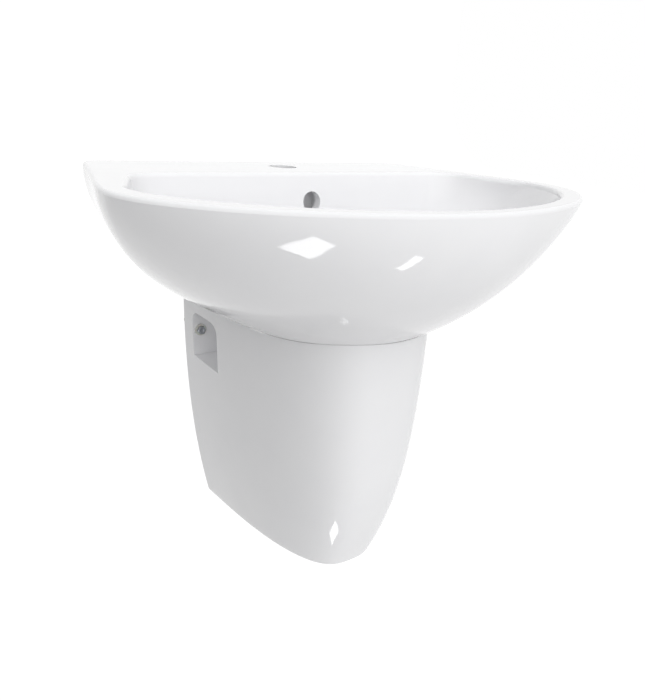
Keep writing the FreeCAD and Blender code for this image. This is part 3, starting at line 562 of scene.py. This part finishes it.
def turn(name: str, *solids: Turning) -> bpy.types.Mesh:
    """Make one mesh of one or more turned solids.

    Args:
        name: The mesh's name.
        *solids: The solids.

    Returns:
        The mesh, smooth but for its edges.
    """
    work = bmesh.new()
    for solid in solids:
        solid.add_to(work)
    bmesh.ops.remove_doubles(work, verts=work.verts, dist=WELD)
    bmesh.ops.dissolve_degenerate(work, edges=work.edges, dist=SLIVER)
    bmesh.ops.recalc_face_normals(work, faces=work.faces)
    mesh = bpy.data.meshes.new(name)
    work.to_mesh(mesh)
    work.free()
    mesh.shade_smooth()
    mesh.set_sharp_from_angle(angle=CREASE)
    return mesh


def both_sides(x: float, *builders: Callable[[float], Turning]) -> list[Turning]:
    """Make a fitting's solids on the right and on the left of the middle.

    Args:
        x: How far each stands from the middle.
        *builders: Makes a solid at the x it is given.

    Returns:
        The solids.
    """
    return [builder(side * x) for side in (1, -1) for builder in builders]


def column(radius: float, bottom: float, top: float, step: float) -> list[tuple[float, float]]:
    """The points of a straight side, close enough together to be shaped.

    Args:
        radius: The side's radius.
        bottom: Where it starts.
        top: Where it ends, which may be below its start.
        step: How far apart the points are at most.

    Returns:
        Radius and height of each point.
    """
    count = max(1, math.ceil(abs(top - bottom) / step))
    return [(radius, bottom + (top - bottom) * place / count) for place in range(count + 1)]


def hex_profile(across: float, height: float, bore: float) -> list[tuple[float, float]]:
    """The profile of a hexagonal nut, with its bore's edges eased.

    The outside is drawn wider than the nut, and hexagonal() brings it in.

    Args:
        across: Distance across the flats.
        height: The nut's height.
        bore: Radius of its bore.

    Returns:
        The closed profile.
    """
    ease = min(0.8, 0.1 * height)
    edge = 0.1 * across / 2
    fine = edge / 5
    outside = [
        *column(across, 0.0, edge, fine),
        *column(across, 1.5 * edge, height - 1.5 * edge, height),
        *column(across, height - edge, height, fine),
    ]
    bottom = [(bore, ease), (bore + ease, 0.0)]
    return [*bottom, *outside, (bore + ease, height), (bore, height - ease)]


def hexagonal(across: float, height: float) -> Shape:
    """Shape a solid's outside as a hexagon whose corners are chamfered at both faces.

    Args:
        across: Distance across the flats.
        height: The hexagon's height.

    Returns:
        The shape.
    """
    core = 0.45 * across
    face = 0.485 * across
    slope = math.sqrt(3)  # The chamfer's cone stands 30 degrees from the face.

    def shape(angle: float, radius: float, place: float) -> float:
        if radius < core:
            return radius
        flat = across / 2 / math.cos(angle % (math.pi / 3) - math.pi / 6)
        cone = face + slope * min(place, height - place)
        return min(flat, cone)

    return shape


def threaded(
    pitch: float, depth: float, bottom: float, top: float, keenness: float = 1.0
) -> Shape:
    """Cut a helical thread into a solid's outside.

    Args:
        pitch: Distance from crest to crest.
        depth: Depth of the thread.
        bottom: Where the thread starts.
        top: Where it ends.
        keenness: 1 for a plain V, and more for a thin crest with a broad root.

    Returns:
        The shape.
    """

    def shape(angle: float, radius: float, height: float) -> float:
        if radius <= depth or not bottom < height < top:
            return radius
        runout = min(1.0, (height - bottom) / pitch, (top - height) / pitch)
        crest = 1 - abs(2 * ((height / pitch - angle / math.tau) % 1) - 1)
        return radius - depth * runout * (1 - crest**keenness)

    return shape


def fluted(outside: float, count: int, depth: float, bottom: float, top: float) -> Shape:
    """Press finger flutes into a solid's outside.

    Args:
        outside: Radius of the side that carries them.
        count: Number of flutes.
        depth: Depth of a flute.
        bottom: Where they start.
        top: Where they end.

    Returns:
        The shape.
    """
    runout = 1.5
    fullness = 0.7  # Under 1, a flute is broad and the ridge between two is narrow.

    def shape(angle: float, radius: float, height: float) -> float:
        if radius < outside - ON_SIDE:
            return radius
        rise = min(1.0, max(0.0, height - bottom) / runout, max(0.0, top - height) / runout)
        hollow = (0.5 - 0.5 * math.cos(count * angle)) ** fullness
        return radius - depth * math.sqrt(rise) * hollow

    return shape


def barbed(outside: float, pitch: float, depth: float) -> Shape:
    """Shape a wall plug's outside with barbs, a smooth mouth and a slot down each side.

    Args:
        outside: The plug's radius.
        pitch: Distance from barb to barb.
        depth: Depth of the slots.

    Returns:
        The shape.
    """
    half_slot = 0.1  # Half of a slot's width, as a share of the radius.
    barb_share = 0.8  # A barb's depth, as a share of a slot's.

    def shape(angle: float, radius: float, height: float) -> float:
        if radius < outside - ON_SIDE or height < pitch:
            return radius
        slotted = abs(math.sin(angle)) < half_slot
        return radius - depth * (1.0 if slotted else barb_share * (1 - height / pitch % 1))

    return shape


# ---------------------------------------------------------------------------------------------
# The fittings and the half pedestal
# ---------------------------------------------------------------------------------------------


@dataclass(frozen=True)
class WallPlug:
    """A nylon plug in the wall, open along its axis for the screw.

    Attributes:
        z: Its height.
        outside: Its radius.
        bore: Radius of its bore.
        length: Its length.
        barbs: Number of barbs, counting the smooth mouth.
        steps_per_barb: How finely each is drawn.
    """

    z: float
    outside: float
    bore: float
    length: float
    barbs: int = 9
    steps_per_barb: int = 6

    def solid(self, x: float) -> Turning:
        """Make the plug.

        Args:
            x: Where it stands.

        Returns:
            The solid.
        """
        pitch = self.length / self.barbs
        side = column(self.outside, 0.0, self.length, pitch / self.steps_per_barb)
        profile = [(self.bore, 0.0), *side, (self.bore, self.length)]
        shape = barbed(self.outside, pitch, depth=0.55 * (self.outside - self.bore))
        return Turning(profile, Seat(x, 0.0, self.z, Lie.TO_WALL), shape, segments=48)


@dataclass(frozen=True)
class WallFixing:
    """The hanger bolts, nuts and plugs that carry the basin.

    A bolt's height runs from its free end in front of the china to its point in the wall.
    """

    x: float = 140.0
    bolt_radius: float = 5.0
    bolt_start: float = -33.5
    bolt_length: float = 103.5
    machine_thread: float = 35.0
    nut_face: float = -26.5
    nut_across: float = 17.0
    nut_height: float = 8.0
    plug_radius: float = 7.0
    plug_length: float = 72.0

    def build(self, palette: Palette) -> None:
        """Make the pieces.

        Args:
            palette: The finishes.
        """
        bolts = turn("hanger_bolts_threaded", *both_sides(self.x, self._bolt))
        palette.piece(bolts, Slot.ZINC_STEEL, "basin_hanger_bolts")
        nuts = turn("hanger_nuts_chamfered", *both_sides(self.x, self._nut))
        palette.piece(nuts, Slot.ZINC_STEEL, "basin_nuts")
        plug = WallPlug(0.0, self.plug_radius, self.bolt_radius + PLAY, self.plug_length)
        plugs = turn("basin_plugs_barbed", *both_sides(self.x, plug.solid))
        palette.piece(plugs, Slot.NYLON, "basin_wall_plugs")

    def _bolt(self, x: float) -> Turning:
        """Make a bolt, with a machine thread in front and a wood thread in the wall.

        Args:
            x: Where it stands.

        Returns:
            The solid.
        """
        chamfer, shank, point = 1.0, 4.0, 10.0
        radius, length, middle = self.bolt_radius, self.bolt_length, self.machine_thread
        pitch = 1.5
        machine = threaded(pitch, depth=0.85, bottom=chamfer, top=middle)
        wood = threaded(
            pitch=4.5, depth=1.3, bottom=middle + shank, top=length - point + 1, keenness=1.8
        )

        def shape(angle: float, at: float, height: float) -> float:
            return (machine if height < middle else wood)(angle, at, height)

        profile = [
            (0.0, 0.0),
            (radius - chamfer, 0.0),
            *column(radius, chamfer, middle, pitch / 4),
            *column(radius, middle + 1, length - point, 0.5),
            (1.0, length),
            (0.0, length),
        ]
        seat = Seat(x, self.bolt_start, 0.0, Lie.TO_WALL)
        return Turning(profile, seat, shape, segments=32)

    def _nut(self, x: float) -> Turning:
        """Make a nut.

        Args:
            x: Where it stands.

        Returns:
            The solid.
        """
        profile = hex_profile(self.nut_across, self.nut_height, self.bolt_radius + PLAY)
        shape = hexagonal(self.nut_across, self.nut_height)
        return Turning(profile, Seat(x, self.nut_face, 0.0, Lie.TO_WALL), shape, segments=96)


@dataclass(frozen=True)
class PedestalFixing:
    """The two screws that hold the half pedestal, in their plugs."""

    x: float = 95.0
    z: float = -149.0
    head_face: float = -34.0
    head_across: float = 10.0
    head_height: float = 4.0
    shank_radius: float = 2.5
    shank_length: float = 48.0
    plug_radius: float = 4.0
    plug_length: float = 20.0

    def build(self, palette: Palette) -> None:
        """Make the pieces.

        Args:
            palette: The finishes.
        """
        screws = turn("pedestal_screws_threaded", *both_sides(self.x, self._head, self._shank))
        palette.piece(screws, Slot.ZINC_STEEL, "pedestal_screws")
        plug = WallPlug(self.z, self.plug_radius, self.shank_radius + PLAY, self.plug_length)
        plugs = turn("pedestal_plugs_barbed", *both_sides(self.x, plug.solid))
        palette.piece(plugs, Slot.NYLON, "pedestal_wall_plugs")

    def _head(self, x: float) -> Turning:
        """Make a screw's hexagonal head, with a shallow dish in its face.

        Args:
            x: Where it stands.

        Returns:
            The solid.
        """
        dish = [(0.0, 0.4), (1.8, 0.4), (2.4, 0.0)]
        side = column(self.head_across, 0.0, self.head_height, 0.2)
        profile = [*dish, *side, (0.0, self.head_height)]
        # Only the free face is chamfered, so the hexagon is given twice the head's height.
        shape = hexagonal(self.head_across, 2 * self.head_height)
        seat = Seat(x, self.head_face, self.z, Lie.TO_WALL)
        return Turning(profile, seat, shape, segments=60)

    def _shank(self, x: float) -> Turning:
        """Make a screw's shank, plain under the head and threaded towards the point.

        Args:
            x: Where it stands.

        Returns:
            The solid.
        """
        plain, point = 18.0, 5.0
        radius, length = self.shank_radius, self.shank_length
        side = column(radius, 1.0, length - point, 0.3)
        profile = [(0.0, 0.0), (radius, 0.0), *side, (0.0, length)]
        shape = threaded(
            pitch=2.2, depth=0.7, bottom=plain, top=length - point + 1, keenness=1.8
        )
        seat = Seat(x, self.head_face + self.head_height, self.z, Lie.TO_WALL)
        return Turning(profile, seat, shape, segments=24)


@dataclass(frozen=True)
class Coupling:
    """A hand-tight coupling nut of the trap.

    Attributes:
        name: The piece's name.
        node: The CAD node that it stands for.
        seat: Where it lies, with its height running from the face round the pipe.
        height: Its height.
        thread_radius: Radius of the thread that it is screwed onto.
        pipe_radius: Radius of its opening round the pipe.
        outside: Its own radius.
        face: Thickness of the face round the pipe.
    """

    name: str
    node: str
    seat: Seat
    height: float
    thread_radius: float
    pipe_radius: float = 16.2
    outside: float = 27.0
    face: float = 3.0

    def build(self, palette: Palette) -> None:
        """Make the piece.

        Args:
            palette: The finishes.
        """
        edge = ((2.6, 0.0), (0.6, 0.6), (0.1, 1.8))
        thread = self.thread_radius + PLAY
        profile = [
            (self.pipe_radius, 0.0),
            *((self.outside - inwards, height) for inwards, height in edge),
            *column(self.outside, 2.4, self.height - 0.6, 0.7),
            (self.outside - 0.5, self.height),
            (thread, self.height),
            (thread, self.face),
            (self.pipe_radius, self.face),
        ]
        shape = fluted(self.outside, count=20, depth=1.5, bottom=3.0, top=self.height - 2.5)
        solid = Turning(profile, self.seat, shape, segments=160)
        palette.piece(turn(self.name, solid), Slot.TRAP_PLASTIC, self.node)


COUPLINGS = (
    Coupling(
        "inlet_nut_fluted", "trap_inlet_nut", Seat(0.0, WASTE_Y, -176.5),
        height=20.5, thread_radius=20.95,
    ),
    Coupling(
        "neck_nut_fluted", "trap_neck_nut", Seat(0.0, WASTE_Y, -205.5, Lie.DOWN),
        height=18.5, thread_radius=21.0,
    ),
    Coupling(
        "outlet_nut_fluted", "trap_outlet_nut", Seat(0.0, -181.5, -251.0, Lie.TO_FRONT),
        height=18.5, thread_radius=21.0,
    ),
)


@dataclass(frozen=True)
class Trap:
    """The fittings under the basin: the backnut, the coupling nuts and the trap's cup."""

    backnut: Seat = Seat(0.0, WASTE_Y, -132.0)
    backnut_across: float = 56.0
    backnut_height: float = 9.0
    backnut_bore: float = 21.05
    cup: Seat = Seat(0.0, WASTE_Y, -319.0)
    cup_radius: float = 36.0
    cup_height: float = 46.0
    cup_shoulder: float = 32.0
    cup_wall: float = 2.5
    bottle_radius: float = 33.0

    def build(self, palette: Palette) -> None:
        """Make the pieces.

        Args:
            palette: The finishes.
        """
        palette.piece(turn("backnut_chamfered", self._nut()), Slot.BRASS, "waste_backnut")
        for coupling in COUPLINGS:
            coupling.build(palette)
        palette.piece(turn("trap_cup_fluted", self._cup()), Slot.TRAP_PLASTIC, "trap_cup")

    def _nut(self) -> Turning:
        """Make the backnut that clamps the waste under the basin.

        Returns:
            The solid.
        """
        profile = hex_profile(self.backnut_across, self.backnut_height, self.backnut_bore)
        shape = hexagonal(self.backnut_across, self.backnut_height)
        return Turning(profile, self.backnut, shape, segments=96)

    def _cup(self) -> Turning:
        """Make the cup that unscrews from the bottom of the trap.

        Returns:
            The solid.
        """
        radius, shoulder, rim = self.cup_radius, self.cup_shoulder, self.cup_height
        mouth = self.bottle_radius + PLAY
        foot = ((14.0, 0.0), (11.0, 0.4), (6.5, 3.2), (3.4, 8.0))
        swell = ((2.5, 6.0), (1.6, 3.4), (0.2, 2.0))
        profile = [
            (0.0, 0.0),
            *((radius - inwards, height) for inwards, height in foot),
            *((radius - inwards, shoulder - below) for inwards, below in swell),
            *column(radius, shoulder - 1.5, rim - 0.5, 0.7),
            (radius - 0.4, rim),
            (mouth, rim),
            (mouth, shoulder),
            (self.bottle_radius - 4.5, shoulder),
            (self.bottle_radius - 6.5, 9.0),
            (radius - 14, self.cup_wall),
            (0.0, self.cup_wall),
        ]
        shape = fluted(radius, count=32, depth=1.4, bottom=shoulder - 1, top=rim - 1.5)
        return Turning(profile, self.cup, shape, segments=256)


@dataclass(frozen=True)
class Bedding:
    """The half pedestal as it is set, with its upper edge brought up close under the belly.

    Attributes:
        reach: The edge is what lies this near to the belly, in millimetres.
        left: The gap that is left between the two.
    """

    reach: float = 1.3
    left: float = 0.25

    def build(self, palette: Palette) -> bpy.types.Object:
        """Make the piece.

        Args:
            palette: The finishes.

        Returns:
            The half pedestal.
        """
        basin, shell = palette.nodes["basin"], palette.nodes["semi_pedestal"]
        belly = BVHTree.FromPolygons(
            [basin.matrix_world @ vertex.co for vertex in basin.data.vertices],
            [tuple(face.vertices) for face in basin.data.polygons],
        )
        mesh = shell.data.copy()
        mesh.name = "half_pedestal_bedded"
        mesh.transform(shell.matrix_world)
        mesh.materials.clear()
        for vertex in mesh.vertices:
            nearest, _, _, gap = belly.find_nearest(vertex.co, self.reach * MM)
            if nearest is not None and gap > self.left * MM:
                vertex.co += (nearest - vertex.co) * (1 - self.left * MM / gap)
        return palette.piece(mesh, Slot.GLAZE, "semi_pedestal")


# ---------------------------------------------------------------------------------------------
# The studio
# ---------------------------------------------------------------------------------------------


def outward(azimuth: float, elevation: float) -> Vector:
    """The direction from the basin to a point of the room.

    Args:
        azimuth: Degrees from straight in front, positive to the right.
        elevation: Degrees above the horizon.

    Returns:
        A unit vector.
    """
    around, above = math.radians(azimuth), math.radians(elevation)
    return Vector(
        (math.sin(around) * math.cos(above), -math.cos(around) * math.cos(above), math.sin(above))
    )


@dataclass(frozen=True)
class Stand:
    """Where a lamp or the camera stands.

    Attributes:
        aim: The spot that it looks at, in metres.
        azimuth: Its direction from there, in degrees from straight in front.
        elevation: The same, in degrees above the horizon.
        distance: Its distance from there, in metres.
        roll: How far it is turned about its line of sight, in degrees.
    """

    aim: Spot
    azimuth: float
    elevation: float
    distance: float
    roll: float = 0.0

    def matrix(self) -> Matrix:
        """Place an object whose view runs along its own -Z axis.

        Returns:
            The object's matrix.
        """
        away = outward(self.azimuth, self.elevation)
        facing = away.to_track_quat("Z", "Y").to_matrix().to_4x4()
        rolled = facing @ Matrix.Rotation(math.radians(self.roll), 4, "Z")
        return Matrix.Translation(Vector(self.aim) + away * self.distance) @ rolled


@dataclass(frozen=True)
class Lamp:
    """A soft box.

    Attributes:
        name: The lamp's name.
        stand: Where it hangs.
        width: Its width, in metres.
        height: Its height, in metres.
        watts: Its power.
        lights: The one piece that it lights, and that mirrors it. A lamp with none lights all
            pieces and isn't mirrored.
    """

    name: str
    stand: Stand
    width: float
    height: float
    watts: float
    lights: str | None = None

    def build(self, pieces: dict[str, bpy.types.Object]) -> None:
        """Hang the lamp.

        Args:
            pieces: The pieces that a lamp may light alone.
        """
        data = bpy.data.lights.new(self.name, "AREA")
        data.shape = "RECTANGLE"
        data.size = self.width
        data.size_y = self.height
        data.energy = self.watts
        item = put_in_scene(self.name, data)
        item.matrix_world = self.stand.matrix()
        item.visible_camera = False
        if self.lights:
            alone = bpy.data.collections.new(f"lit_by_{self.name}")
            alone.objects.link(pieces[self.lights])
            item.light_linking.receiver_collection = alone
        else:
            item.visible_glossy = False


LAMPS = (
    # The broad diamond high on the belly, a little left of the middle of the photo.
    Lamp(
        "belly_box", Stand((-0.158, -0.375, 0.036), -28.0, -65.4, 0.85, roll=57.0),
        width=0.4, height=0.115, watts=0.95, lights="basin",
    ),
    # The short slanting streak to its right.
    Lamp(
        "front_box", Stand((-0.078, -0.406, 0.024), 21.3, -49.9, 0.9, roll=87.0),
        width=0.25, height=0.05, watts=0.28, lights="basin",
    ),
    # The light that the floor throws back up.
    Lamp(
        "floor_bounce", Stand((0.0, -0.3, -0.15), 15.0, -36.0, 1.0),
        width=0.7, height=0.7, watts=1.7,
    ),
    # The small upright diamond at the foot of the half pedestal.
    Lamp(
        "foot_box", Stand((-0.0395, -0.283, -0.329), -42.0, -66.1, 0.45, roll=45.0),
        width=0.09, height=0.09, watts=0.2, lights="semi_pedestal",
    ),
)


@dataclass(frozen=True)
class Glow:
    """A broad soft patch of light in the air, brightest in one direction.

    Attributes:
        azimuth: That direction, in degrees from straight in front.
        elevation: The same, in degrees above the horizon.
        strength: How bright it is there.
        narrowness: 1 for half of the room, and more for a smaller patch.
    """

    azimuth: float
    elevation: float
    strength: float
    narrowness: float = 4.0

    def add_to(
        self,
        tree: bpy.types.NodeTree,
        ahead: bpy.types.NodeSocket,
        sofar: bpy.types.NodeSocket | float,
    ) -> bpy.types.NodeSocket:
        """Add the patch to the strength of the air.

        Args:
            tree: The world's tree.
            ahead: The socket that gives the direction of a ray.
            sofar: The strength from the other patches.

        Returns:
            The socket of the new sum.
        """
        brightest = tuple(outward(self.azimuth, self.elevation))
        facing = add_node(
            tree, "ShaderNodeVectorMath", {0: ahead, 1: brightest}, operation="DOT_PRODUCT"
        )
        near = calculate(tree, "MAXIMUM", facing.outputs["Value"], 0.0)
        lobe = calculate(tree, "POWER", near, self.narrowness)
        return calculate(tree, "MULTIPLY_ADD", lobe, self.strength, sofar)


AIR = (
    Glow(0.0, 90.0, 1.0, narrowness=1.0),
    Glow(0.0, 15.0, 1.4),
    Glow(-45.0, 15.0, 0.4),
    Glow(0.0, 55.0, 0.35),
)


@dataclass(frozen=True)
class Studio:
    """A white sweep, softly lit air, small lamps and the camera of the photograph.

    Attributes:
        camera: Where the camera stands.
        lens: Its focal length, in millimetres.
        sensor: Width of its sensor, in millimetres.
        floor: Height of the floor.
        reach: How far the floor and the backdrop run.
        bend: Radius of the curve between the two.
        bend_steps: Number of steps in that curve.
        paper: The sweep's own colour, in sRGB.
        lift: What is added to the sweep where it is seen, so that it comes out white.
    """

    camera: Stand = Stand((-0.0148, -0.2, -0.1317), -34.9, 20.5, 0.773, roll=3.7)
    lens: float = 33.506
    sensor: float = 36.0
    floor: float = -0.785
    reach: float = 9.0
    bend: float = 1.5
    bend_steps: int = 24
    paper: str = "#A6A6A6"
    lift: float = 0.72

    def build(self, pieces: dict[str, bpy.types.Object]) -> None:
        """Build the sweep, the air's light, the lamps and the camera.

        Args:
            pieces: The pieces that a lamp may light alone.
        """
        self._lay_sweep()
        self._light_air()
        for lamp in LAMPS:
            lamp.build(pieces)
        self._stand_camera()

    def _lay_sweep(self) -> None:
        """Lay a floor that curves up into a backdrop, far behind the wall side."""
        mesh = bpy.data.meshes.new("paper_sweep")
        rows = self._sweep_profile()
        corners = [(side * self.reach, y, z) for y, z in rows for side in (-1, 1)]
        faces = [(2 * i, 2 * i + 1, 2 * i + 3, 2 * i + 2) for i in range(len(rows) - 1)]
        mesh.from_pydata(corners, [], faces)
        mesh.shade_smooth()
        mesh.materials.append(self._paper())
        put_in_scene("paper_sweep", mesh)

    def _sweep_profile(self) -> list[tuple[float, float]]:
        """The sweep's line from the front of the floor to the top of the backdrop.

        Returns:
            The y and z of each point.
        """
        centre_y, centre_z = self.reach - self.bend, self.floor + self.bend
        rows = [(-self.reach, self.floor)]
        for step in range(self.bend_steps + 1):
            angle = math.radians(-90 + 90 * step / self.bend_steps)
            rows.append(
                (centre_y + self.bend * math.cos(angle), centre_z + self.bend * math.sin(angle))
            )
        return [*rows, (self.reach, self.reach)]

    def _paper(self) -> bpy.types.Material:
        """Make the sweep's paper: grey as a source of light, and white where it is seen.

        Returns:
            The material.
        """
        material = bpy.data.materials.new("seamless_paper_white")
        tree = new_tree(material)
        grey = add_node(tree, "ShaderNodeBsdfDiffuse", {"Color": linear(self.paper)}).outputs[0]
        lift = add_node(tree, "ShaderNodeEmission", {"Color": WHITE, "Strength": self.lift})
        white = add_node(tree, "ShaderNodeAddShader", {0: grey, 1: lift.outputs[0]}).outputs[0]
        add_node(tree, "ShaderNodeOutputMaterial", {"Surface": by_ray(tree, grey, white)})
        return material

    def _light_air(self) -> None:
        """Light the room with soft patches of air, and show white behind everything."""
        world = bpy.data.worlds.new("studio_air")
        tree = new_tree(world)
        ahead = add_node(tree, "ShaderNodeTexCoord").outputs["Generated"]
        strength: bpy.types.NodeSocket | float = 0.0
        for glow in AIR:
            strength = glow.add_to(tree, ahead, strength)
        soft, white = (
            add_node(tree, "ShaderNodeBackground", {"Color": WHITE, "Strength": power}).outputs[0]
            for power in (strength, 1.0)
        )
        add_node(tree, "ShaderNodeOutputWorld", {"Surface": by_ray(tree, soft, white)})
        bpy.context.scene.world = world

    def _stand_camera(self) -> None:
        """Stand the camera where the photograph was taken from."""
        data = bpy.data.cameras.new("photo_camera")
        data.lens = self.lens
        data.sensor_width = self.sensor
        data.sensor_fit = "AUTO"
        data.clip_start = 0.01
        item = put_in_scene("photo_camera", data)
        item.matrix_world = self.camera.matrix()
        bpy.context.scene.camera = item


def main() -> None:
    """Build the washbasin's looks piece by piece, then the studio."""
    logging.basicConfig(level=logging.INFO, format="%(name)s: %(message)s")
    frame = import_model()
    palette = Palette(frame)
    for entry in frame["record"]["subparts"]:
        palette.dress(entry["node"], Slot(entry["material_slot"]))
    for fitting in (WallFixing(), PedestalFixing(), Trap()):
        fitting.build(palette)
    shell = Bedding().build(palette)
    Studio().build({"basin": palette.nodes["basin"], "semi_pedestal": shell})
    bpy.context.scene.view_settings.view_transform = "Standard"


if __name__ == "__main__":
    main()
